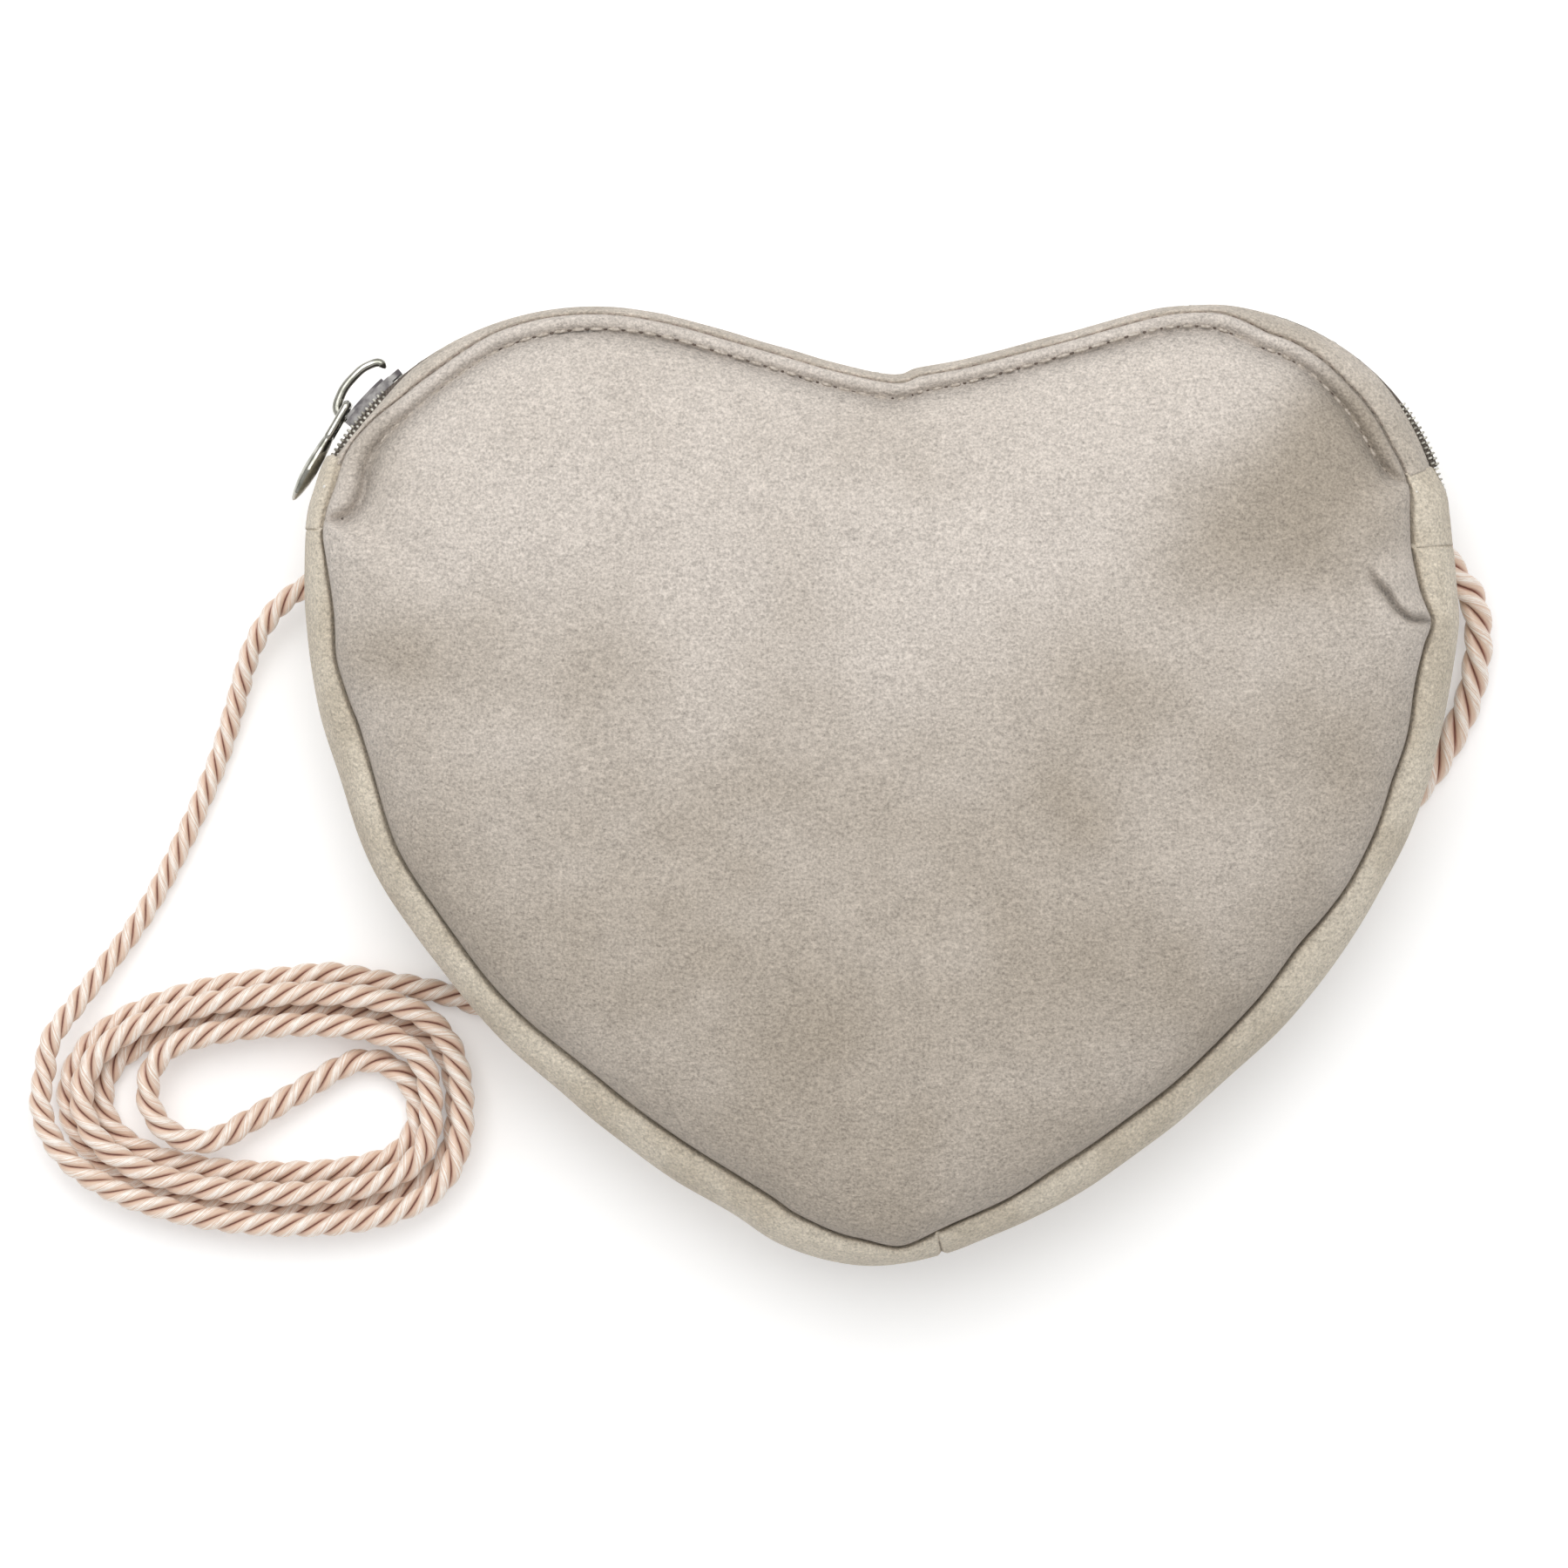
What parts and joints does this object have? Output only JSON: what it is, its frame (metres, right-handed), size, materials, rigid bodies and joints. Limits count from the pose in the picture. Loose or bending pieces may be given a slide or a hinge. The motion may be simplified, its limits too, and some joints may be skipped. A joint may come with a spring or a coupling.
{
  "type": "heart shaped purse",
  "caption": "Puffed heart shaped suede purse lying flat, with a gusset band, a zip round its top, a slider with a hanging leaf pull and a twisted cord strap coiled beside it.",
  "frame": {"origin": "on the resting surface, under the middle of the heart", "axes": "+X to the right, +Y towards the two lobes and the zip, +Z out through the front panel"},
  "size_m": [0.2808, 0.1831, 0.052],
  "materials": {
    "suede": "soft napped suede with a mottled surface",
    "band_suede": "soft napped suede, a little darker and cooler",
    "lining": "plain woven lining",
    "tape": "ribbed zip tape",
    "nickel": "polished nickel",
    "cord": "satin twisted cord of three strands"
  },
  "bodies": {
    "bag": {"front_panel": "suede", "back_panel": "suede", "gusset_left": "band_suede", "gusset_right": "band_suede", "end_tab_left": "band_suede", "end_tab_right": "band_suede", "zip_facing_front": "suede", "zip_facing_back": "band_suede", "zip_tape_front": "tape", "zip_tape_back": "tape", "zip_teeth_front": "nickel", "zip_teeth_back": "nickel", "zip_stops": "nickel", "front_lining": "lining", "back_lining": "lining", "gusset_lining": "lining", "front_seam_binding": "tape", "back_seam_binding": "tape", "strap_anchor_left": "band_suede", "strap_anchor_right": "band_suede", "strap_left_run": "cord", "strap_coil": "cord", "strap_right_run": "cord"},
    "slider": {"slider_body": "nickel", "slider_bail": "nickel"},
    "pull": {"zip_pull": "nickel"}
  },
  "joints": [
    {"name": "slider_travel", "type": "hinge", "parent": "bag", "child": "slider", "pos_m": [-0.05381, 0.03331, 0.024], "axis": [0, 0, 1], "range_deg": [-52, 5]},
    {"name": "pull_swing", "type": "hinge", "parent": "slider", "child": "pull", "pos_m": [-0.10097, 0.07263, 0.024], "axis": [0, 0, 1], "range_deg": [-140, 0]}
  ]
}
